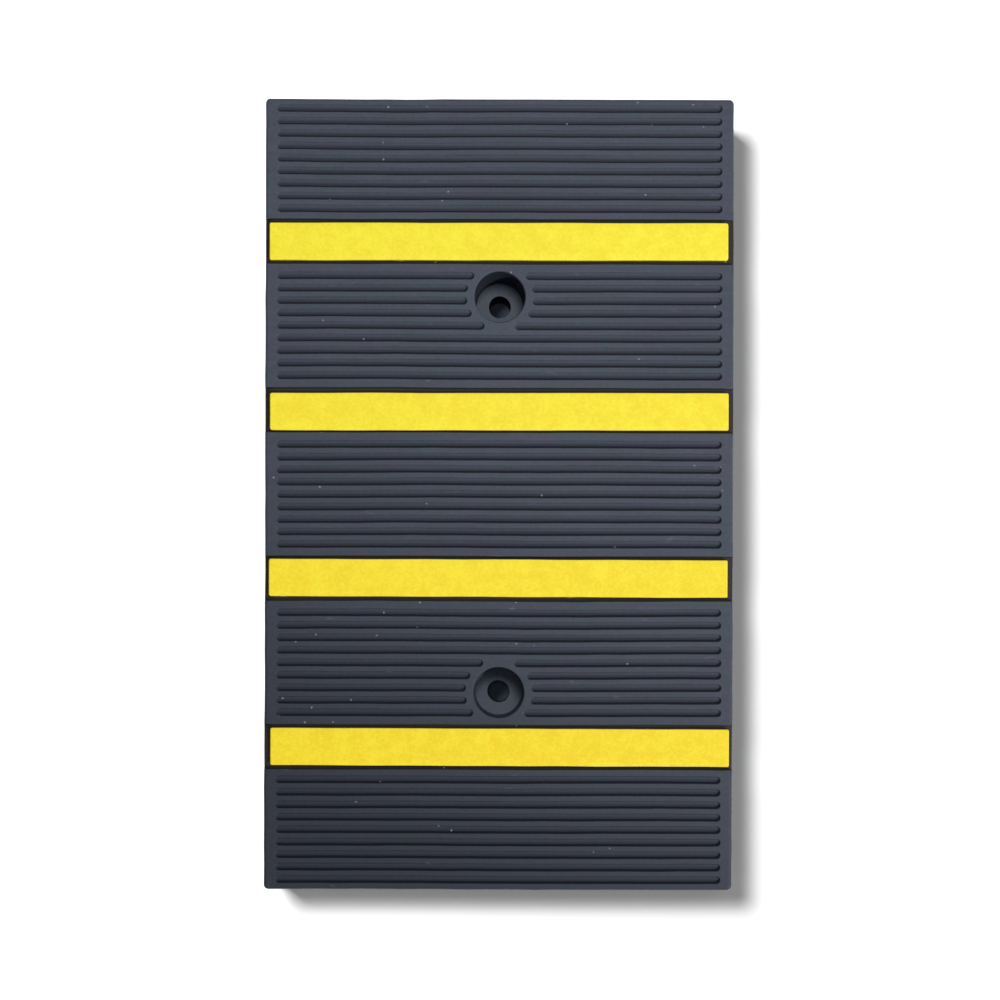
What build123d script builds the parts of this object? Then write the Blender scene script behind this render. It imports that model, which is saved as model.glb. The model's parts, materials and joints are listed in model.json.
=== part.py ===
"""Rubber speed bump unit: a moulded slab with a grooved tread, four glued yellow strips and two bolt holes.

Frame: the origin is on the road, under the middle of the slab. +X is the way that traffic crosses the
unit, +Y runs along the bump towards its next unit, and +Z is up. Sizes are in millimetres.
"""

import os
from math import sqrt

from build123d import *

# ---------------------------------------------------------------- slab
length = 500.0              # along the bump
base_width = 300.0          # across the bump, at the road
height = 50.0
side_draft = 2.0            # each long side leans in by this much on its way up
corner_radius = 3.0         # the four upright corners
top_edge_radius = 2.0       # the rim of the top face

# ---------------------------------------------------------------- yellow strips and their channels
strip_pitch = 106.5         # from one strip's centre line to the next
strip_count = 4
strip_width = 24.0
strip_thickness = 2.4
strip_corner_radius = 2.0
strip_rim_radius = 0.6
strip_end_margin = 3.0      # from a strip's end to the rim of the top face
strip_side_gap = 2.2        # open gap beside a strip laid down the middle of its channel
strip_recess = 0.2          # a strip's face lies this far below the tread
glue_thickness = 0.4
glue_setback = 1.0          # the glue film stops this far inside the strip's outline

# The strips are laid by hand: each one's shift along X, shift along Y and turn in degrees
strip_lays = [
    (-0.4, 0.1, 0.06),
    (0.1, -0.9, 0.10),
    (-0.3, 0.3, -0.05),
    (0.9, -0.1, -0.08),
]

# ---------------------------------------------------------------- tread grooves
groove_pitch = 7.9
groove_width = 4.4
groove_depth = 2.4
groove_end_margin = 7.5     # from a groove's end to the rim of the top face
groove_side_margin = 4.0    # least plain rubber between a panel's edge and its outermost groove
bolt_land = 5.0             # plain rubber between a head recess and the grooves that stop short of it

# ---------------------------------------------------------------- bolt holes
bolt_spacing = 250.0        # along the bump, centre to centre
bolt_hole_radius = 7.0      # clears an M12 anchor bolt
head_recess_radius = 16.0   # takes a washer and a socket round the bolt's head
bolt_seat_thickness = 20.0  # rubber left between the floor of the recess and the road
bolt_boss_wall = 10.0       # least rubber between a head recess and a pocket

# ---------------------------------------------------------------- pockets in the underside
pocket_size = 36.0
pocket_rib = 11.0           # rubber between one pocket and the next
pocket_wall = 14.0          # least rubber between a pocket and the outside of the slab
pocket_depth = 28.0
pocket_corner_radius = 4.0
pocket_draft = 2.0          # degrees

# ---------------------------------------------------------------- worked out from the values above
top_width = base_width - 2 * side_draft
channel_width = strip_width + 2 * strip_side_gap
channel_depth = strip_recess + strip_thickness + glue_thickness
channel_floor = height - channel_depth
strip_length = top_width - 2 * strip_end_margin
strip_rows = [strip_pitch * (i - (strip_count - 1) / 2) for i in reversed(range(strip_count))]
groove_span = top_width - 2 * groove_end_margin
bolt_land_radius = head_recess_radius + bolt_land
bolt_boss_radius = head_recess_radius + bolt_boss_wall
bolt_rows = [bolt_spacing / 2, -bolt_spacing / 2]


def panels():
    """(first edge, last edge) of each tread panel: one beyond each end strip and one between each two strips."""
    firsts = [-length / 2, *(row + channel_width / 2 for row in reversed(strip_rows))]
    lasts = [*(row - channel_width / 2 for row in reversed(strip_rows)), length / 2]
    return list(zip(firsts, lasts))


def groove_rows(first, last):
    """The centre lines of a panel's grooves: as many as it holds, in the middle of it."""
    room = last - first - 2 * groove_side_margin - groove_width
    count = int(room // groove_pitch) + 1
    return [(first + last) / 2 + groove_pitch * (n - (count - 1) / 2) for n in range(count)]


def groove_runs(row):
    """(middle, length) of each groove on this row: one, or two that stop short of a bolt hole's plain land."""
    for bolt_row in bolt_rows:
        off = abs(row - bolt_row)
        if off < bolt_land_radius:
            tip = sqrt(bolt_land_radius**2 - off**2)
            run = groove_span / 2 - tip
            middle = tip + run / 2
            return [(-middle, run), (middle, run)]
    return [(0.0, groove_span)]


def pocket_places():
    """The centres of the pockets: as many as the slab holds, leaving out those that a bolt boss takes."""
    pitch = pocket_size + pocket_rib
    columns = int((base_width - 2 * pocket_wall + pocket_rib) // pitch)
    rows = int((length - 2 * pocket_wall + pocket_rib) // pitch)
    places = []
    for column in range(columns):
        for row in range(rows):
            x = pitch * (column - (columns - 1) / 2)
            y = pitch * (row - (rows - 1) / 2)
            beside = max(abs(x) - pocket_size / 2, 0)
            along = min(max(abs(y - bolt_row) - pocket_size / 2, 0) for bolt_row in bolt_rows)
            if sqrt(beside**2 + along**2) >= bolt_boss_radius:
                places.append((x, y))
    return places


def laid_plane(row, lay, level):
    """The plane at this level on which a strip and its glue film are drawn."""
    shift_x, shift_y, turn = lay
    return Plane(origin=(shift_x, row + shift_y, level)).rotated((0, 0, turn))


os.makedirs("parts", exist_ok=True)

# ================================================================ rubber body
with BuildPart() as rubber_body:
    # Section across the bump, run along its length
    with BuildSketch(Plane.XZ):
        with BuildLine():
            Polyline(
                (-base_width / 2, 0),
                (base_width / 2, 0),
                (top_width / 2, height),
                (-top_width / 2, height),
                close=True,
            )
        make_face()
    extrude(amount=length / 2, both=True)
    upright_corners = rubber_body.edges().filter_by(Axis.X, reverse=True).filter_by(Axis.Y, reverse=True)
    fillet(upright_corners, corner_radius)
    fillet(rubber_body.faces().sort_by(Axis.Z)[-1].edges(), top_edge_radius)

    # Channels for the strips, open at both ends
    with BuildSketch(Plane.XY.offset(height)):
        with Locations(*[(0, row) for row in strip_rows]):
            Rectangle(base_width, channel_width)
    extrude(amount=-channel_depth, mode=Mode.SUBTRACT)

    # Tread grooves with round ends
    with BuildSketch(Plane.XY.offset(height)):
        for first, last in panels():
            for row in groove_rows(first, last):
                for middle, run in groove_runs(row):
                    with Locations((middle, row)):
                        SlotOverall(run, groove_width)
    extrude(amount=-groove_depth, mode=Mode.SUBTRACT)

    # Bolt holes, each with a deep recess for the bolt's head
    with Locations(*[(0, row, height) for row in bolt_rows]):
        CounterBoreHole(bolt_hole_radius, head_recess_radius, height - bolt_seat_thickness)

    # Pockets in the underside, narrowing upwards
    with BuildSketch(Plane.XY):
        with Locations(*pocket_places()):
            RectangleRounded(pocket_size, pocket_size, pocket_corner_radius)
    extrude(amount=pocket_depth, taper=pocket_draft, mode=Mode.SUBTRACT)

rubber_body.part.label = "rubber_body"
export_step(rubber_body.part, "parts/rubber_body.step")

# ================================================================ yellow strips and the glue under them
for number, (row, lay) in enumerate(zip(strip_rows, strip_lays), start=1):
    with BuildPart() as strip_adhesive:
        with BuildSketch(laid_plane(row, lay, channel_floor)):
            Rectangle(strip_length - 2 * glue_setback, strip_width - 2 * glue_setback)
        extrude(amount=glue_thickness)
    strip_adhesive.part.label = f"strip_adhesive_{number}"
    export_step(strip_adhesive.part, f"parts/strip_adhesive_{number}.step")

    with BuildPart() as yellow_strip:
        with BuildSketch(laid_plane(row, lay, channel_floor + glue_thickness)):
            RectangleRounded(strip_length, strip_width, strip_corner_radius)
        extrude(amount=strip_thickness)
        fillet(yellow_strip.faces().sort_by(Axis.Z)[-1].edges(), strip_rim_radius)
    yellow_strip.part.label = f"yellow_strip_{number}"
    export_step(yellow_strip.part, f"parts/yellow_strip_{number}.step")
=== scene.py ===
# %% [markdown]
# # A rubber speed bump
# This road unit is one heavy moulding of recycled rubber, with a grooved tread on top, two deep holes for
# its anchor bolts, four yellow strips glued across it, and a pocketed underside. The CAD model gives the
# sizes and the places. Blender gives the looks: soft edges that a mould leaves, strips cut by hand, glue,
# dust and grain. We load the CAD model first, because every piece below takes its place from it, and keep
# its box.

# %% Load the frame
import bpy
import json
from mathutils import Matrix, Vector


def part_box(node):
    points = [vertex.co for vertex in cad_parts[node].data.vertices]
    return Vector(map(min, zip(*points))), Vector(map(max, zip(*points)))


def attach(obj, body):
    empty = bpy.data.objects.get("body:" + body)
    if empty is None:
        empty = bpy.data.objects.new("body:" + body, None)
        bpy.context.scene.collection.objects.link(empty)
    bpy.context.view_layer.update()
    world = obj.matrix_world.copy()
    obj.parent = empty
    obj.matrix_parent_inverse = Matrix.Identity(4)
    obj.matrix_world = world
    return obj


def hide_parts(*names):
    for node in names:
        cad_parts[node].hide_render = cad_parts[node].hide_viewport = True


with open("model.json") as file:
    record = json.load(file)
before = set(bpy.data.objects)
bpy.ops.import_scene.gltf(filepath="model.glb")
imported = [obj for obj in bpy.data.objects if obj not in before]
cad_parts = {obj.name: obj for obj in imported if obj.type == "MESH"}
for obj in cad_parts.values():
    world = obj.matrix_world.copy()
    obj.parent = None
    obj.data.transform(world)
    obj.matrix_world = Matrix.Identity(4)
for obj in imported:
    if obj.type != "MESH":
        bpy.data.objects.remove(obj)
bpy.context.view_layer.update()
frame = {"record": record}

# %% [markdown]
# ## Sizes
# Two kinds of size are needed. The overall ones, the strips' places and the bolt holes can be read from
# the frame, so they always agree with it. The tread's and the underside's pattern can't be read from a
# box, so the sizes that set it are named here, in metres, as a mould maker's drawing would list them.

# %% Read the overall sizes and the holes
import json
from math import cos, hypot, pi, radians, sin, sqrt, tan

import bpy
from mathutils import Vector, noise

mm = 0.001
slab_low, slab_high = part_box("rubber_body")
base_width = slab_high.x - slab_low.x
length = slab_high.y - slab_low.y
height = slab_high.z
mounts = {mount["name"]: mount for mount in frame["record"]["mounts"]}
bolt_rows = [mounts[name]["pos_m"][1] for name in ("anchor_hole_a", "anchor_hole_b")]
bolt_hole_radius = mounts["anchor_hole_a"]["dims"]["r_mm"] * mm
head_recess_radius = mounts["head_recess_a"]["dims"]["r_mm"] * mm
bolt_seat = mounts["anchor_hole_a"]["dims"]["length_mm"] * mm
strip_boxes = [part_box(f"yellow_strip_{number}") for number in (1, 2, 3, 4)]
channel_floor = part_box("strip_adhesive_1")[0].z
print(f"slab {base_width:.3f} x {length:.3f} x {height:.3f} m, channel floor at {channel_floor:.4f} m")

# %% Name the sizes of the pattern
side_draft = 2.0 * mm           # each long side leans in by this much on its way up
corner_radius = 3.0 * mm
top_edge_radius = 2.0 * mm
strip_pitch = 106.5 * mm
channel_width = 28.4 * mm
groove_pitch = 7.9 * mm
groove_width = 4.4 * mm
groove_depth = 2.4 * mm
groove_end_margin = 7.5 * mm    # from a groove's end to the rim of the top face
groove_side_margin = 4.0 * mm
bolt_land = 5.0 * mm            # plain rubber between a head recess and the grooves that stop short of it
pocket_size = 36.0 * mm
pocket_rib = 11.0 * mm
pocket_wall = 14.0 * mm
pocket_depth = 28.0 * mm
pocket_corner_radius = 4.0 * mm
pocket_draft = radians(2)
bolt_boss_wall = 10.0 * mm
strip_rows = [strip_pitch * place for place in (1.5, 0.5, -0.5, -1.5)]
groove_span = base_width - 2 * side_draft - 2 * groove_end_margin
print(f"a whole groove is {groove_span:.3f} m long, strip rows at", [round(row, 5) for row in strip_rows])

# %% [markdown]
# ## Rings and skins
# A moulded recess is a stack of outlines: each step up its wall is the same outline, a little larger or
# smaller. Extruding a curve would give sharp edges and a bevel afterwards often tears at the ends of a
# groove, so we write the outlines ourselves, put a skin over them and cap both ends. One pair of helpers
# then makes the slab and the cutters for its grooves, pockets, channels and holes, each with its rounded
# edges already in it.

# %% Make an outline and a skin
ARC_STEPS = 6                   # faces in a quarter turn of an outline


def between(first, last, count):
    """Points that divide the line from first to last into count equal parts, with last left out."""
    shares = [n / count for n in range(count)]
    return [(first[0] + (last[0] - first[0]) * s, first[1] + (last[1] - first[1]) * s) for s in shares]


def outline(half_x, half_y, radius, grow=0.0, spans=(1, 1)):
    """Points anticlockwise round a rectangle with round corners, pushed outwards by grow all round.

    spans is the number of parts in each straight side along X and along Y, 0 for a side with no length.
    """
    corners = []
    for side_x, side_y, start in ((1, -1, -90), (1, 1, 0), (-1, 1, 90), (-1, -1, 180)):
        middle = (side_x * (half_x - radius), side_y * (half_y - radius))
        corners.append([(middle, radians(start + 90 * n / ARC_STEPS)) for n in range(ARC_STEPS + 1)])
    points = []
    for corner, following, count in zip(corners, corners[1:] + corners[:1], reversed(spans + spans)):
        points += corner[:-1]
        (first, turn), (last, _) = corner[-1], following[0]
        points += [(place, turn) for place in between(first, last, count)]
    reach = radius + grow
    return [(x + reach * cos(turn), y + reach * sin(turn)) for (x, y), turn in points]


def skin(rings):
    """(points, faces) of the closed skin over a stack of rings that all have the same number of points."""
    count = len(rings[0])
    faces = [
        (low + n, low + (n + 1) % count, low + count + (n + 1) % count, low + count + n)
        for low in range(0, count * (len(rings) - 1), count)
        for n in range(count)
    ]
    faces.append(tuple(reversed(range(count))))
    faces.append(tuple(range(count * (len(rings) - 1), count * len(rings))))
    return [point for ring in rings for point in ring], faces


def solid(name, skins):
    """An object that holds these skins as one mesh."""
    points = []
    faces = []
    for skin_points, skin_faces in skins:
        base = len(points)
        points += skin_points
        faces += [tuple(base + corner for corner in face) for face in skin_faces]
    mesh = bpy.data.meshes.new(name)
    mesh.from_pydata(points, [], faces)
    made = bpy.data.objects.new(name, mesh)
    bpy.context.scene.collection.objects.link(made)
    return made


print("a round hole would have", len(outline(1, 1, 1, spans=(0, 0))), "points")

# %% [markdown]
# ## Rounded recess edges
# Rubber can't hold a sharp edge. The foot of each wall is a small hollow round, the wall leans a little
# so that the mould lets go, and the rim rolls over into the tread. One profile says this for every
# recess: how far the outline has grown at each height. Its last steps rise past the tread at a slant,
# because a cutter that only touches the surface it cuts gives a ragged result.

# %% Write the profile of a recess wall
ROUND_STEPS = 4
RIM_TURN = 72                   # degrees of the rim's quarter turn that are drawn before the slant
PAST_TREAD = 0.06 * mm          # the slant runs up to this height above the tread
CUTTER_TOP = 2 * mm             # a cutter ends this far above the tread


def recess_profile(depth, foot, rim, lean):
    """(growth, height above the tread) up a recess wall, from its floor past the tread."""
    rise = [radians(90 * n / ROUND_STEPS) for n in range(ROUND_STEPS + 1)]
    steps = [(-lean - foot + foot * sin(turn), -depth + foot - foot * cos(turn)) for turn in rise]
    roll = [radians(RIM_TURN * n / ROUND_STEPS) for n in range(ROUND_STEPS + 1)]
    steps += [(rim - rim * cos(turn), rim * sin(turn) - rim) for turn in roll]
    grow, level = steps[-1]
    slant = tan(radians(90 - RIM_TURN))
    widest = grow + (PAST_TREAD - level) / slant
    steps.append((widest, PAST_TREAD))
    steps.append((widest, CUTTER_TOP))
    return steps


groove_rim = 0.55 * mm
groove_profile = recess_profile(groove_depth, foot=0.6 * mm, rim=groove_rim, lean=0.25 * mm)
channel_profile = recess_profile(height - channel_floor, foot=0.4 * mm, rim=0.5 * mm, lean=0.1 * mm)
print("the groove's wall has", len(groove_profile), "rings")

# %% [markdown]
# ## The slab
# The outside is a stack of rounded rectangles too: a small round at the road, the long sides leaning in
# on their way up, and the rolled top rim. Its sides are divided finely, so that they can be bent a little
# later.

# %% Stack the slab's outside
SLAB_SPANS = (24, 40)           # about one for each 12 mm of its sides
ROAD_ROUND = 0.6 * mm


def slab_ring(level, inset=0.0):
    """The slab's outline at this height, pulled in all round by inset."""
    half_x = base_width / 2 - side_draft * level / height
    points = outline(half_x, length / 2, corner_radius, grow=-inset, spans=SLAB_SPANS)
    return [(x, y, level) for x, y in points]


quarter = [radians(90 * n / ROUND_STEPS) for n in range(ROUND_STEPS + 1)]
wall_levels = [height * share for share in (0.15, 0.35, 0.55, 0.75, 0.88)]
slab_rings = [slab_ring(ROAD_ROUND * (1 - cos(turn)), ROAD_ROUND * (1 - sin(turn))) for turn in quarter]
slab_rings += [slab_ring(level) for level in wall_levels]
slab_rings += [
    slab_ring(height - top_edge_radius * (1 - sin(turn)), top_edge_radius * (1 - cos(turn)))
    for turn in quarter
]
body = solid("speed_bump_body", [skin(slab_rings)])
print("slab rings", len(slab_rings))

# %% [markdown]
# ## Grooves of the tread
# The tread has five panels, one beyond each end strip and one between each two strips, and each panel
# holds as many grooves as fit, centred in it. A groove in line with a bolt hole stops short of it on both
# sides, so that plain rubber stays round the hole. We work the rows out as the mould maker does and keep
# only the cutters. A groove's floor isn't level: it is deepest along its -Y side, which gives each groove
# one dark side. The rings of its cutter say that too, if each point below the rim sinks by its own share.

# %% Lay out the grooves
GROOVE_STEP = 12 * mm           # length of the parts that a groove's sides are divided into
FLOOR_FALL = 0.85               # how much less deep a groove is at its +Y side than at its -Y side


def held(value, low, high):
    """value, kept between low and high."""
    return min(max(value, low), high)


def panels():
    """(first edge, last edge) of each tread panel, from the -Y end."""
    firsts = [-length / 2] + [row + channel_width / 2 for row in reversed(strip_rows)]
    lasts = [row - channel_width / 2 for row in reversed(strip_rows)] + [length / 2]
    return list(zip(firsts, lasts))


def groove_rows(first, last):
    """The centre lines of a panel's grooves."""
    room = last - first - 2 * groove_side_margin - groove_width
    count = int(room // groove_pitch) + 1
    return [(first + last) / 2 + groove_pitch * (n - (count - 1) / 2) for n in range(count)]


def groove_runs(row):
    """(middle, length) of each groove on this row: two of them where a bolt hole is in the way."""
    for bolt_row in bolt_rows:
        off = abs(row - bolt_row)
        land = head_recess_radius + bolt_land
        if off < land:
            tip = sqrt(land**2 - off**2)
            run = groove_span / 2 - tip
            return [(-tip - run / 2, run), (tip + run / 2, run)]
    return [(0.0, groove_span)]


def groove_skin(middle, row, run):
    """The cutter of one groove, with round ends and a floor that slopes down towards -Y."""
    spans = (round(run / GROOVE_STEP), 0)
    rings = []
    for grow, level in groove_profile:
        above_foot_of_rim = level + groove_rim
        ring = []
        for x, y in outline(run / 2, groove_width / 2, groove_width / 2, grow, spans):
            share = 1.0
            if above_foot_of_rim < 0:
                share = 1 - FLOOR_FALL * held(y / groove_width + 0.5, 0.0, 1.0)
            ring.append((middle + x, row + y, height - groove_rim + above_foot_of_rim * share))
        rings.append(ring)
    return skin(rings)


cutters = [
    groove_skin(middle, row, run)
    for first, last in panels()
    for row in groove_rows(first, last)
    for middle, run in groove_runs(row)
]
print("grooves", len(cutters))

# %% [markdown]
# ## Channels, bolt holes and pockets
# Each strip lies in a channel that runs out through both long sides. Its cutter is a section pushed along
# X, so its rings stand upright. A bolt hole is turned: a bore from the road, a flat seat for the washer,
# and a deep recess for the bolt's head, all round the same axis. The pockets open towards the road and
# narrow upwards.

# %% Cut the channels
CHANNEL_OVERRUN = 5 * mm        # a channel's cutter sticks out of each long side by this much


def channel_skin(row):
    """The cutter of one channel, a section pushed through the whole width of the slab."""
    half = channel_width / 2
    right = [(row + half + grow, height + level) for grow, level in channel_profile]
    left = [(row - half - grow, height + level) for grow, level in reversed(channel_profile)]
    reach = base_width / 2 + CHANNEL_OVERRUN
    places = [-reach + 2 * reach * n / SLAB_SPANS[0] for n in range(SLAB_SPANS[0] + 1)]
    return skin([[(x, y, z) for y, z in right + left] for x in places])


cutters += [channel_skin(row) for row in strip_rows]
print("channels", len(strip_rows))

# %% Turn the bolt holes
HOLE_STEPS = 72
CUTTER_UNDER = 1 * mm           # a cutter from below starts this far under the road face
bore_chamfer = 0.6 * mm
seat_round = 0.5 * mm
recess_foot = 1.2 * mm
recess_rim = 0.9 * mm
recess_lean = 0.4 * mm


def circle(row, radius, level):
    """A ring round a bolt hole's axis."""
    turns = [2 * pi * n / HOLE_STEPS for n in range(HOLE_STEPS)]
    return [(radius * cos(turn), row + radius * sin(turn), level) for turn in turns]


def bolt_hole_skin(row):
    """The cutter of one bolt hole, from under the road face to above the tread."""
    bore = bolt_hole_radius
    steps = [(bore + bore_chamfer + CUTTER_UNDER, -CUTTER_UNDER), (bore, bore_chamfer)]
    steps += [
        (bore + seat_round * (1 - cos(turn)), bolt_seat - seat_round * (1 - sin(turn)))
        for turn in quarter
    ]
    wall = recess_profile(height - bolt_seat, recess_foot, recess_rim, recess_lean)
    steps += [(head_recess_radius + grow, height + level) for grow, level in wall]
    return skin([circle(row, radius, level) for radius, level in steps])


cutters += [bolt_hole_skin(row) for row in bolt_rows]
print("bolt holes", len(bolt_rows))

# %% Sink the pockets
pocket_mouth = 0.8 * mm         # the rounding where a pocket opens to the road
pocket_roof = 1.5 * mm          # the rounding between its walls and its roof


def pocket_places():
    """The centres of the pockets: as many as the slab holds, but none in the way of a bolt hole."""
    pitch = pocket_size + pocket_rib
    columns = int((base_width - 2 * pocket_wall + pocket_rib) // pitch)
    rows = int((length - 2 * pocket_wall + pocket_rib) // pitch)
    places = []
    for column in range(columns):
        for row in range(rows):
            x = pitch * (column - (columns - 1) / 2)
            y = pitch * (row - (rows - 1) / 2)
            beside = max(abs(x) - pocket_size / 2, 0)
            behind = min(max(abs(y - bolt_row) - pocket_size / 2, 0) for bolt_row in bolt_rows)
            if hypot(beside, behind) >= head_recess_radius + bolt_boss_wall:
                places.append((x, y))
    return places


def pocket_skin(centre_x, centre_y):
    """The cutter of one pocket, from under the road face up to its roof."""
    halfway = (0.25 * mm, 0.3 * mm)
    steps = [(pocket_mouth + CUTTER_UNDER, -CUTTER_UNDER), halfway, (0.0, pocket_mouth)]
    leant = (pocket_depth - pocket_roof) * tan(pocket_draft)
    steps += [
        (-leant - pocket_roof * (1 - cos(turn)), pocket_depth - pocket_roof * (1 - sin(turn)))
        for turn in quarter
    ]
    half = pocket_size / 2
    rings = []
    for grow, level in steps:
        points = outline(half, half, pocket_corner_radius, grow, spans=(2, 2))
        rings.append([(centre_x + x, centre_y + y, level) for x, y in points])
    return skin(rings)


cutters += [pocket_skin(x, y) for x, y in pocket_places()]
print("cutters in all", len(cutters), "with", len(pocket_places()), "pockets")

# %% [markdown]
# ## Cut the slab
# No two cutters touch, so they can all go into one mesh and one Boolean modifier takes them out in a
# single pass. The modifier is applied at once and the cutters are removed, because only the result is
# part of the object.

# %% Apply the cut
def apply_modifiers(piece):
    """Replaces a piece's mesh with what its modifiers make of it."""
    shown = piece.evaluated_get(bpy.context.evaluated_depsgraph_get())
    finished = bpy.data.meshes.new_from_object(shown)
    rough = piece.data
    piece.modifiers.clear()
    piece.data = finished
    bpy.data.meshes.remove(rough)


cutter = solid("mould_inserts", cutters)
cut = body.modifiers.new("inserts", "BOOLEAN")
cut.operation = "DIFFERENCE"
cut.solver = "EXACT"
cut.object = cutter
apply_modifiers(body)
bpy.data.objects.remove(cutter)
print("the body has", len(body.data.vertices), "points and", len(body.data.polygons), "faces")

# %% [markdown]
# ## The unevenness of a real moulding
# Rubber shrinks unevenly as it cools and is trimmed by hand, so no edge on the real unit is quite
# straight. We move each point sideways by smooth noise, a long slow wave and a shorter one. Heights stay
# as they are, which keeps the flat faces flat, and the result is held inside the CAD box. The noise is
# seeded, because Blender's vector noise differs on every run otherwise, and the unit has to come out the
# same each time. Then the weighted normals make flat faces shade flat right up to their rolled edges.

# %% Bend the edges and set the normals
SLOW_WAVE = (90 * mm, 0.45 * mm, 3.1)   # reach, size and where the noise is read
SHORT_WAVE = (14 * mm, 0.22 * mm, 7.7)
noise.seed_set(7)


def sway(place, reach, size, offset):
    """A sideways shift of up to size, which varies smoothly over distances of about reach."""
    shift = noise.noise_vector(place / reach + Vector((offset, offset, offset)))
    return Vector((shift.x, shift.y, 0)) * size


widest_shift = 0.0
for point in body.data.vertices:
    place = point.co.copy()
    flat_place = Vector((place.x, place.y, 0))
    shift = sway(flat_place, *SLOW_WAVE) + sway(flat_place, *SHORT_WAVE)
    widest_shift = max(widest_shift, shift.length)
    moved = place + shift
    point.co = (
        held(moved.x, slab_low.x, slab_high.x),
        held(moved.y, slab_low.y, slab_high.y),
        place.z,
    )
body.data.shade_smooth()
weigh = body.modifiers.new("flat faces stay flat", "WEIGHTED_NORMAL")
weigh.mode = "FACE_AREA_WITH_ANGLE"
weigh.weight = 50
apply_modifiers(body)
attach(body, "root")
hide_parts("rubber_body")
print(f"no point of the body was moved by more than {widest_shift / mm:.2f} mm")

# %% [markdown]
# ## The yellow strips
# A strip is a length of coloured rubber sheet, cut from a roll with a knife. Its long edges wander by a
# few tenths of a millimetre, its corners differ, and it isn't quite flat once it is glued down. A rounded
# box would hide all that. Instead we push a section along the strip and change its two edges and its top
# at every station.

# %% Loft a strip
STATION = 4 * mm                # from one section to the next along a strip
strip_rim = 0.6 * mm
strip_turns = [radians(turn) for turn in (0.06, 0.10, -0.05, -0.08)]

# Sections at an end are closer together, to draw its round corners
NEAR_END = [distance * mm for distance in (0.0, 0.08, 0.2, 0.4, 0.6, 0.9, 1.3, 1.8, 2.4)]


def stations(run):
    """Distances along a strip, close together near its two ends."""
    rest = run - 2 * NEAR_END[-1]
    count = round(rest / STATION)
    inner = [NEAR_END[-1] + rest * n / count for n in range(1, count)]
    return NEAR_END + inner + [run - distance for distance in reversed(NEAR_END)]


def round_drop(distance, radius):
    """How far a quarter round of this radius falls short at this distance from its end."""
    if distance >= radius:
        return 0.0
    return radius - sqrt(radius**2 - (radius - distance) ** 2)


def strip_section(left, right, low, high, rim, dip):
    """A strip's section as (y, z) points, anticlockwise from its lower left, with rolled upper edges."""
    points = [(left, low), (right, low), (right, high - rim)]
    points += [(right - rim * (1 - cos(turn)), high - rim * (1 - sin(turn))) for turn in quarter[1:]]
    for share in (0.2, 0.4, 0.6, 0.8):
        points.append((right - rim + (left - right + 2 * rim) * share, high - dip * sin(pi * share)))
    points += [
        (left + rim * (1 - cos(turn)), high - rim * (1 - sin(turn))) for turn in reversed(quarter[1:])
    ]
    points.append((left, high - rim))
    return points


def laid(points, middle, turn):
    """Points of a strip drawn along X about the origin, turned and moved to where it lies."""
    return [
        (middle.x + x * cos(turn) - y * sin(turn), middle.y + x * sin(turn) + y * cos(turn), z)
        for x, y, z in points
    ]


def wander(x, seed, reach=30 * mm):
    """Smooth noise along X, between about -1 and 1."""
    return noise.noise(Vector((x / reach, seed, 0.37 * seed)))


print("a strip's mesh has", len(stations(strip_boxes[0][1].x - strip_boxes[0][0].x)), "sections")

# %% Make the four strips
strip_trim = 0.15 * mm          # a strip is cut this much inside its CAD outline
edge_wave = 0.22 * mm           # and its edges wander from there by up to this much
edge_nicks = 0.05 * mm
corner_mean = 1.2 * mm
corner_spread = 0.7 * mm
top_wave = 0.05 * mm
hollow = 0.06 * mm              # how far the middle of its top sinks


def yellow_strip(number, box, turn):
    """One yellow strip, cut by hand."""
    low, high = box
    middle = (low + high) / 2
    run = (high.x - low.x) - (high.y - low.y) * abs(sin(turn))
    half = ((high.y - low.y) - run * abs(sin(turn))) / 2
    rings = []
    for distance in stations(run):
        x = distance - run / 2
        to_end = min(distance, run - distance)
        seed = 10.0 * number + (0 if x < 0 else 1)
        corner = corner_mean + corner_spread * noise.noise(Vector((seed, 0.5, 0)))
        inset = round_drop(to_end, corner)
        edges = []
        for side in (-1, 1):
            cut_line = half - strip_trim + edge_wave * wander(x, number + 3.3 * side)
            edges.append(side * (cut_line - inset + edge_nicks * wander(x, 5 * number + side, 6 * mm)))
        top = high.z - top_wave * (1 + wander(x, 2.2 * number)) / 2 - round_drop(to_end, strip_rim)
        dip = hollow * (1 + wander(x, 1.7 * number))
        section = strip_section(edges[0], edges[1], low.z, top, strip_rim * 0.9, dip)
        rings.append(laid([(x, y, z) for y, z in section], middle, turn))
    strip = solid(f"hand_cut_strip_{number}", [skin(rings)])
    strip.data.shade_smooth()
    strip.data.set_sharp_from_angle(angle=radians(50))
    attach(strip, "root")
    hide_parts(f"yellow_strip_{number}")
    return strip


strips = [
    yellow_strip(number, box, turn)
    for number, (box, turn) in enumerate(zip(strip_boxes, strip_turns), start=1)
]
print("strips", [len(strip.data.polygons) for strip in strips], "faces")

# %% [markdown]
# ## Glue under the strips
# The glue is brushed on and pressed flat, so its edge is a wavy line, here and there a little way out
# from under the strip. It only shows from low down, through the gap beside the strip. The same section
# and loft make it, as a thin film whose two edges wander much more than the strip's.

# %% Spread the glue
glue_corner = 2.4 * mm
glue_inset = 0.5 * mm           # the film's edge lies this far inside the strip's on average
glue_wave = 0.9 * mm
glue_edge = 0.15 * mm


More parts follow.
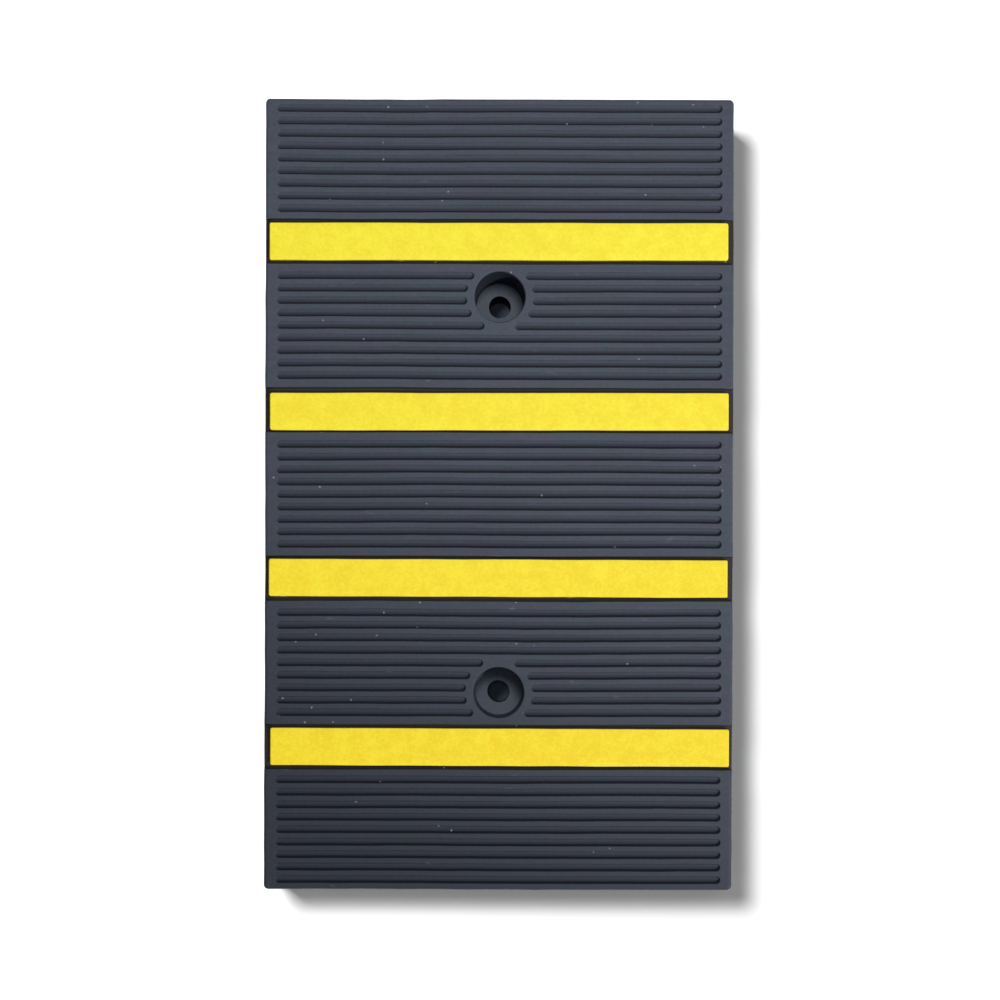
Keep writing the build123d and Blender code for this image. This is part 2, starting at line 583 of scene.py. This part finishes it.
def glue_film(number, strip_box, turn):
    """The film of glue under one strip, with a wavy squeezed edge."""
    low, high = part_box(f"strip_adhesive_{number}")
    middle = (low + high) / 2
    run = (high.x - low.x) - (high.y - low.y) * abs(sin(turn))
    half = ((strip_box[1].y - strip_box[0].y) - run * abs(sin(turn))) / 2
    rings = []
    for distance in stations(run):
        x = distance - run / 2
        inset = round_drop(min(distance, run - distance), glue_corner)
        edges = [
            side * (half - glue_inset - inset + glue_wave * wander(x, 7 * number + side, 11 * mm))
            for side in (-1, 1)
        ]
        section = strip_section(edges[0], edges[1], low.z, high.z, glue_edge, 0.0)
        rings.append(laid([(x, y, z) for y, z in section], middle, turn))
    film = solid(f"glue_film_{number}", [skin(rings)])
    film.data.shade_smooth()
    film.data.set_sharp_from_angle(angle=radians(60))
    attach(film, "root")
    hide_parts(f"strip_adhesive_{number}")
    return film


films = [
    glue_film(number, box, turn)
    for number, (box, turn) in enumerate(zip(strip_boxes, strip_turns), start=1)
]
print("glue films", len(films))

# %% [markdown]
# ## Shader maths
# A finish is easier to read as an expression than as a pile of nodes. `Value` wraps one output socket,
# and adding, subtracting, multiplying or comparing values adds the Math nodes. `Finish` holds a material,
# makes every other node through one method, and feeds what varies into the surface shader.

# %% Wrap a socket
class Value:
    """One output socket. Arithmetic on it adds Math nodes to its finish."""

    def __init__(self, finish, socket):
        self.finish = finish
        self.socket = socket

    def maths(self, operation, first, second):
        return self.finish.node("ShaderNodeMath", {"operation": operation}, {0: first, 1: second})

    def __add__(self, other):
        return self.maths("ADD", self, other)

    def __radd__(self, other):
        return self.maths("ADD", other, self)

    def __sub__(self, other):
        return self.maths("SUBTRACT", self, other)

    def __rsub__(self, other):
        return self.maths("SUBTRACT", other, self)

    def __mul__(self, other):
        return self.maths("MULTIPLY", self, other)

    def __rmul__(self, other):
        return self.maths("MULTIPLY", other, self)

    def __gt__(self, other):
        return self.maths("GREATER_THAN", self, other)

    def __lt__(self, other):
        return self.maths("LESS_THAN", self, other)

    def size(self):
        """The value without its sign."""
        return self.maths("ABSOLUTE", self, 0.0)


print("values can be added, subtracted, multiplied and compared")


# %% Wrap a material
class Finish:
    """A procedural material. Values that are the same all over are set on its surface shader directly."""

    def __init__(self, name, uniform=None):
        self.material = bpy.data.materials.new(name)
        self.material.use_nodes = True
        self.tree = self.material.node_tree
        self.surface = self.tree.nodes["Principled BSDF"]
        for socket, value in (uniform or {}).items():
            self.surface.inputs[socket].default_value = value
        self.place = self.node("ShaderNodeTexCoord", output="Object")

    def feed(self, socket, value):
        """Gives a socket a link, if value is a Value, or else a fixed number, vector or colour."""
        if isinstance(value, Value):
            self.tree.links.new(value.socket, socket)
        else:
            socket.default_value = value

    def node(self, kind, settings=None, inputs=None, output=0):
        """A new node: its settings are set first, then its sockets, and one of its outputs comes back."""
        node = self.tree.nodes.new(kind)
        for setting, value in (settings or {}).items():
            setattr(node, setting, value)
        for socket, value in (inputs or {}).items():
            self.feed(node.inputs[socket], value)
        return Value(self, node.outputs[output])

    def paint(self, socket, value):
        """Feeds one socket of the surface shader."""
        self.feed(self.surface.inputs[socket], value)

    def axis(self, letter, of=None):
        """The X, Y or Z of the place in the object, or of another vector."""
        return self.node("ShaderNodeSeparateXYZ", {}, {0: of or self.place}, output=letter)

    def cloud(self, size, detail=3.0, roughness=0.55, where=None):
        """Smooth noise from 0 to 1 with patches of about this size, in metres."""
        inputs = {
            "Vector": where or self.place,
            "Scale": 1 / size,
            "Detail": detail,
            "Roughness": roughness,
        }
        return self.node("ShaderNodeTexNoise", {}, inputs)

    def ease(self, value, low, high):
        """0 below low, 1 above high, and smooth between. The other way round if low is above high."""
        settings = {"interpolation_type": "SMOOTHSTEP"}
        inputs = {"Value": value, "From Min": low, "From Max": high}
        return self.node("ShaderNodeMapRange", settings, inputs)

    def mix(self, share, first, second):
        """A colour between two, as the share goes from 0 to 1."""
        return self.node("ShaderNodeMix", {"data_type": "RGBA"}, {0: share, 6: first, 7: second}, output=2)

    def stretched(self, x, y, z):
        """The place, scaled along each axis, to draw noise out into streaks."""
        return self.node("ShaderNodeVectorMath", {"operation": "MULTIPLY"}, {0: self.place, 1: (x, y, z)})

    def relief(self, high, depth):
        """Bumps the surface by this height field, depth metres from 0 to 1."""
        bump = self.node("ShaderNodeBump", {}, {"Strength": 1.0, "Distance": depth, "Height": high})
        self.paint("Normal", bump)


print("a finish offers", [name for name in vars(Finish) if not name.startswith("_")])

# %% [markdown]
# ## The rubber
# Moulded crumb rubber is a dark blue-grey. It looks like rubber from the road by what lies on it. The
# lands of the tread have a pale chalky bloom. The bloom fades down each groove's floor, painted shade
# that makes the floor darker, and thins out towards the -X,-Y corner, painted shade that darkens that
# corner. Painted shade darkens the deep side of each groove, painted light brightens the seats of the
# bolt holes and the wall of the one at the -Y end, brown grime darkened further as painted shade covers
# the floors of the channels, and road dust is splashed up the sides. A few pale specks and rub marks
# come on top, and fine crumbs mottle it all. A painted texture would hold this for one unit only. A mask
# for each, worked out from the place in the object, holds it for any size, so the colours and the masks
# come first.

# %% Name the rubber's colours
deep_rubber = (0.016, 0.020, 0.033, 1)
teal_bloom = (0.047, 0.062, 0.084, 1)
violet_bloom = (0.054, 0.059, 0.088, 1)
# painted shade: the colour of the deep side of each groove
groove_shade_colour = (0.004, 0.006, 0.018, 1)
# painted light: a lighter colour for the wall of the bolt hole at the -Y end
wall_light_colour = (0.055, 0.066, 0.100, 1)
# painted light: a lighter colour for the seats of the bolt holes
seat_light_colour = (0.135, 0.160, 0.205, 1)
# brown grime, darkened further as painted shade in the deep gaps
channel_grime_and_shade = (0.021, 0.016, 0.014, 1)
road_dust = (0.23, 0.24, 0.26, 1)
print("dust is", round(road_dust[1] / deep_rubber[1], 1), "times as light as bare rubber")


# %% Mask the parts of the unit
def unit_masks(finish):
    """Where on the unit a point lies: masks from 0 to 1, by name."""
    across = finish.axis("X")
    along = finish.axis("Y")
    up = finish.axis("Z")
    facing = finish.node("ShaderNodeNewGeometry", output="Normal")
    looks_up = finish.ease(finish.axis("Z", facing), 0.5, 0.9)
    from_bolt = along.size() - bolt_rows[0]
    near_bolt = across * across + from_bolt * from_bolt < (head_recess_radius + 0.5 * mm) ** 2
    on_wall = (up < height - 0.9 * mm) * (up > bolt_seat + 0.4 * mm)
    on_tread = (across.size() < groove_span / 2) * (along.size() < length / 2 - groove_side_margin)
    below_channel = 1 - finish.ease(up, height - 2.9 * mm, height - 2.5 * mm)
    return {
        "looks_up": looks_up,
        # painted shade: this mask falls to 0 towards the -X,-Y corner, which paints that corner darker
        "dry": finish.ease(along + 0.6 * across, -0.32, 0.06),
        # bloom on the lands, which fades down each groove's floor as painted shade
        "land": finish.ease(up, height - 1.9 * mm, height - 0.6 * mm),
        # painted shade along the deep side of each groove
        "painted_groove_shade": on_tread * (1 - finish.ease(up, height - 2.0 * mm, height - 1.3 * mm)),
        # painted light on the wall of the bolt hole at the -Y end
        "painted_wall_light": near_bolt * (along < 0.0) * on_wall,
        # the seats of the bolt holes, which get painted light
        "seat": (up < bolt_seat + 0.8 * mm) * (up > bolt_seat - 0.6 * mm) * looks_up,
        # the channels' floors, which get grime and painted shade
        "channel": below_channel * (up > height - 4 * mm),
    }


print("the tread's masks reach", round((height - channel_floor) / mm, 1), "mm down, to the channels' floor")


# %% Colour the rubber and lay the dust
def rubber_colour(finish, masks, patches):
    """The colour of the rubber, its bloom and the dirt that sticks to it."""
    clouds = finish.cloud(70 * mm, detail=3.0)
    streaks = finish.cloud(3.4 * mm, detail=3.0, where=finish.stretched(0.05, 1.0, 1.0))
    dry = masks["dry"]
    # painted shade: less bloom towards the -X,-Y corner
    amount = (0.06 + 0.94 * dry) * (0.30 + 0.34 * clouds + 0.40 * patches + 0.50 * streaks)
    hue = finish.ease(finish.cloud(28 * mm, detail=3.0), 0.38, 0.62)
    # bloom on the lands; the groove floors are left darker as painted shade
    base = finish.mix(masks["land"] * amount, deep_rubber, finish.mix(hue, teal_bloom, violet_bloom))
    # painted shade: the deep side of each groove is darkened, the more so towards the -X,-Y corner
    groove_shade_share = (0.35 + 0.45 * (1 - dry) * (1 - dry)) * masks["painted_groove_shade"]
    base = finish.mix(groove_shade_share, base, groove_shade_colour)
    # painted light: the wall of the -Y bolt hole is painted lighter
    base = finish.mix(masks["painted_wall_light"], base, wall_light_colour)
    # painted light: the seats of the bolt holes are painted lighter
    base = finish.mix(masks["seat"], base, seat_light_colour)
    # grime and painted shade on the channels' floors
    return finish.mix(masks["channel"], base, channel_grime_and_shade)


def rubber_dust(finish, masks, patches, crumbs):
    """How much road dust lies on the rubber: specks, rub marks, and splashes near the road."""
    cells = finish.node(
        "ShaderNodeTexVoronoi",
        {"voronoi_dimensions": "2D", "feature": "F1"},
        {"Vector": finish.place, "Scale": 1 / (17 * mm)},
        output="Distance",
    )
    ragged = cells + 0.09 * (finish.cloud(1.1 * mm) - 0.5)
    specks = (1 - finish.ease(ragged, 0.012, 0.045)) * (finish.cloud(40 * mm, detail=1.0) > 0.60)
    scrapes = finish.cloud(5 * mm, detail=5.0, where=finish.stretched(0.35, 1.0, 1.0))
    rubs = finish.ease(scrapes, 0.64, 0.78) * finish.ease(finish.cloud(55 * mm, detail=1.0), 0.45, 0.60)
    up = finish.axis("Z")
    splashed = (1 - finish.ease(up + 9 * mm * (patches - 0.5), 2 * mm, 13 * mm)) * (up > 0.3 * mm)
    return 0.9 * specks * masks["looks_up"] + 0.35 * rubs * masks["land"] + 0.30 * splashed * (0.4 + crumbs)


# %% Mix the rubber finish
def rubber_finish():
    """Dark moulded rubber, as it comes off a road."""
    finish = Finish("moulded_rubber", {"IOR": 1.40})
    masks = unit_masks(finish)
    crumbs = finish.cloud(2.2 * mm, detail=4.0, roughness=0.62)
    patches = finish.cloud(16 * mm, detail=4.0)
    plain = rubber_colour(finish, masks, patches)
    grain = 0.70 + 0.60 * crumbs
    mottled = finish.node("ShaderNodeVectorMath", {"operation": "SCALE"}, {0: plain, "Scale": grain})
    dust = rubber_dust(finish, masks, patches, crumbs)
    finish.paint("Base Color", finish.mix(dust, mottled, road_dust))
    finish.paint("Roughness", 0.72 - 0.08 * masks["land"] + 0.14 * (patches - 0.5) + 0.10 * (crumbs - 0.5))
    fine = finish.cloud(0.7 * mm, detail=3.0)
    finish.relief(0.55 * crumbs + 0.25 * fine + 0.9 * patches, 0.16 * mm)
    return finish.material


rubber = rubber_finish()
body.data.materials.append(rubber)
print("rubber nodes", len(rubber.node_tree.nodes))

# %% [markdown]
# ## The yellow
# The strips are yellow right through, with a satin skin that shows the weave of the calender roll as a
# fine, soft grain. A flat yellow looks like plastic film, so two sizes of noise shift it between a deeper
# and a paler tone. The strips are a fresher lemon at the +Y end and painted a little darker and warmer
# towards the -Y end, as painted shade. Grime and painted shade darken the cut edges low down, where the
# strip stands in its channel.

# %% Mix the yellow finish
# grime and painted shade low on a strip's cut edges
edge_grime_and_shade = (0.30, 0.20, 0.02, 1)


def yellow_finish():
    """Satin yellow rubber, lemon at one end of the unit and darker and warmer, as painted shade, at the
    other.
    """
    finish = Finish("yellow_rubber", {"IOR": 1.38})
    grain = finish.cloud(1.8 * mm, detail=3.0, roughness=0.6)
    blotches = finish.cloud(9 * mm, detail=4.0)
    tone = finish.ease(0.55 * grain + 0.45 * blotches, 0.36, 0.64)
    # painted shade: the strips get darker and warmer towards the -Y end
    lemon = finish.mix(tone, (0.85, 0.70, 0.020, 1), (0.92, 0.81, 0.040, 1))
    shaded_end_yellow = finish.mix(tone, (0.84, 0.62, 0.012, 1), (0.91, 0.73, 0.026, 1))
    colour = finish.mix(finish.ease(finish.axis("Y"), -0.20, 0.20), shaded_end_yellow, lemon)
    # grime and painted shade darken the strip's edges low down in the channel
    low_edge = 1 - finish.ease(finish.axis("Z"), channel_floor + 1.2 * mm, channel_floor + 2.6 * mm)
    finish.paint("Base Color", finish.mix(low_edge * 0.75, colour, edge_grime_and_shade))
    finish.paint("Roughness", 0.58 + 0.16 * (grain - 0.5) + 0.12 * (blotches - 0.5))
    finish.relief(0.6 * grain + 0.8 * blotches, 0.09 * mm)
    return finish.material


yellow = yellow_finish()
for strip in strips:
    strip.data.materials.append(yellow)
print("yellow nodes", len(yellow.node_tree.nodes))

# %% [markdown]
# ## The glue
# Contact adhesive dries to a dull amber film. Light goes into it a little and it has a soft gloss, with
# dirt along its edge. It hardly shows, so a mottled amber with some gloss is enough.

# %% Mix the glue finish
def glue_finish():
    """Dull amber contact adhesive."""
    finish = Finish("dried_glue", {"IOR": 1.5})
    blobs = finish.cloud(4 * mm, detail=3.0)
    colour = finish.mix(finish.ease(blobs, 0.35, 0.65), (0.20, 0.13, 0.05, 1), (0.48, 0.38, 0.20, 1))
    finish.paint("Base Color", colour)
    finish.paint("Roughness", 0.35 + 0.3 * blobs)
    finish.relief(blobs, 0.12 * mm)
    return finish.material


dried_glue = glue_finish()
for film in films:
    film.data.materials.append(dried_glue)
print("glue nodes", len(dried_glue.node_tree.nodes))

# %% [markdown]
# ## Floor, light and camera
# The unit lies on a plain pale floor. In a product picture the shading of the piece and its shadow are
# often set apart, and light linking does that here. Two soft boxes light the unit alone: one overhead,
# whose sheen fades down the tread, and a far stronger one at the near right, which puts the dark line
# along each groove. Two more light the floor alone: one at the far left, which casts the soft shadow, and
# one straight above, which keeps that shadow from going black. The pale surround lights everything a
# little. The camera looks straight down from about a metre. It stands off the middle along the unit, and
# its lens is shifted to bring the unit back into the middle.

# %% Lay the floor
shade_patch_inset = 15 * mm           # the painted shadow patch ends this far inside the unit's outline


def pale_floor():
    """Pale all over, but for a dark patch right under the unit, painted shadow that shows through its bolt
    holes.
    """
    finish = Finish("pale_floor")
    haze = finish.cloud(300 * mm, detail=2.0)
    pale = finish.mix(haze, (0.90, 0.90, 0.90, 1), (0.93, 0.93, 0.93, 1))
    under_x = finish.axis("X").size() < 0.5 * base_width - shade_patch_inset
    under_y = finish.axis("Y").size() < 0.5 * length - shade_patch_inset
    # painted shadow: the floor right under the unit is dark
    finish.paint("Base Color", finish.mix(under_x * under_y, pale, (0.032, 0.042, 0.075, 1)))
    finish.paint("Roughness", 0.75 + 0.1 * haze)
    return finish.material


half_floor = 4.0
floor_level = -0.1 * mm
corners = ((-1, -1), (1, -1), (1, 1), (-1, 1))
floor_points = [(x * half_floor, y * half_floor, floor_level) for x, y in corners]
floor = solid("floor", [(floor_points, [(0, 1, 2, 3)])])
floor.data.materials.append(pale_floor())
print("floor", 2 * half_floor, "m square")

# %% Hang the lights
def only(name, *pieces):
    """A collection of the pieces that a light is kept to."""
    group = bpy.data.collections.new(name)
    for piece in pieces:
        group.objects.link(piece)
    return group


def soft_box(name, place, target, size, power, receivers=None):
    """A square area light that faces its target and lights only the receivers, if they are given."""
    light = bpy.data.lights.new(name, "AREA")
    light.shape = "SQUARE"
    light.size = size
    light.energy = power
    box = bpy.data.objects.new(name, light)
    box.location = place
    box.rotation_euler = (Vector(target) - Vector(place)).to_track_quat("-Z", "Y").to_euler()
    bpy.context.scene.collection.objects.link(box)
    if receivers:
        box.light_linking.receiver_collection = receivers
    return box


unit_only = only("lit_unit", body, *strips, *films)
floor_only = only("lit_floor", floor)
soft_box("overhead_soft_box", (0.12, 0.36, 1.50), (0.0, 0.05, 0.0), 0.4, 8.0, unit_only)
soft_box("near_right_soft_box", (3.00, -2.40, 3.40), (0.0, 0.0, 0.0), 0.5, 204, unit_only)
soft_box("far_left_soft_box", (-0.69, 0.55, 1.90), (0.0, 0.0, 0.0), 0.57, 56, floor_only)
soft_box("floor_fill_soft_box", (0.0, 0.0, 2.50), (0.0, 0.0, 0.0), 0.5, 6.2, floor_only)
print("lights", [light.name for light in bpy.data.lights])

# %% Surround it with pale air
world = bpy.data.worlds.new("pale_studio")
world.use_nodes = True
surround = world.node_tree.nodes["Background"]
surround.inputs["Color"].default_value = (1.0, 1.0, 1.0, 1)
surround.inputs["Strength"].default_value = 0.20
bpy.context.scene.world = world
bpy.context.scene.view_settings.view_transform = "Standard"
print("surround", surround.inputs["Strength"].default_value)

# %% Set the camera
camera_across = 1 * mm
camera_along = -100 * mm
camera_above_tread = 974 * mm
camera_roll = radians(0.17)
lens = bpy.data.cameras.new("camera")
lens.sensor_width = 36
lens.lens = 55.5
lens.shift_y = 0.1526           # brings the unit back to the middle
camera = bpy.data.objects.new("camera", lens)
camera.location = (camera_across, camera_along, height + camera_above_tread)
camera.rotation_euler = (0, 0, camera_roll)
bpy.context.scene.collection.objects.link(camera)
bpy.context.scene.camera = camera
print(f"camera {camera.location.z:.3f} m above the floor")

# %% [markdown]
# ## Size
# Blender's pieces may round and bend the CAD's faces but not grow past them.
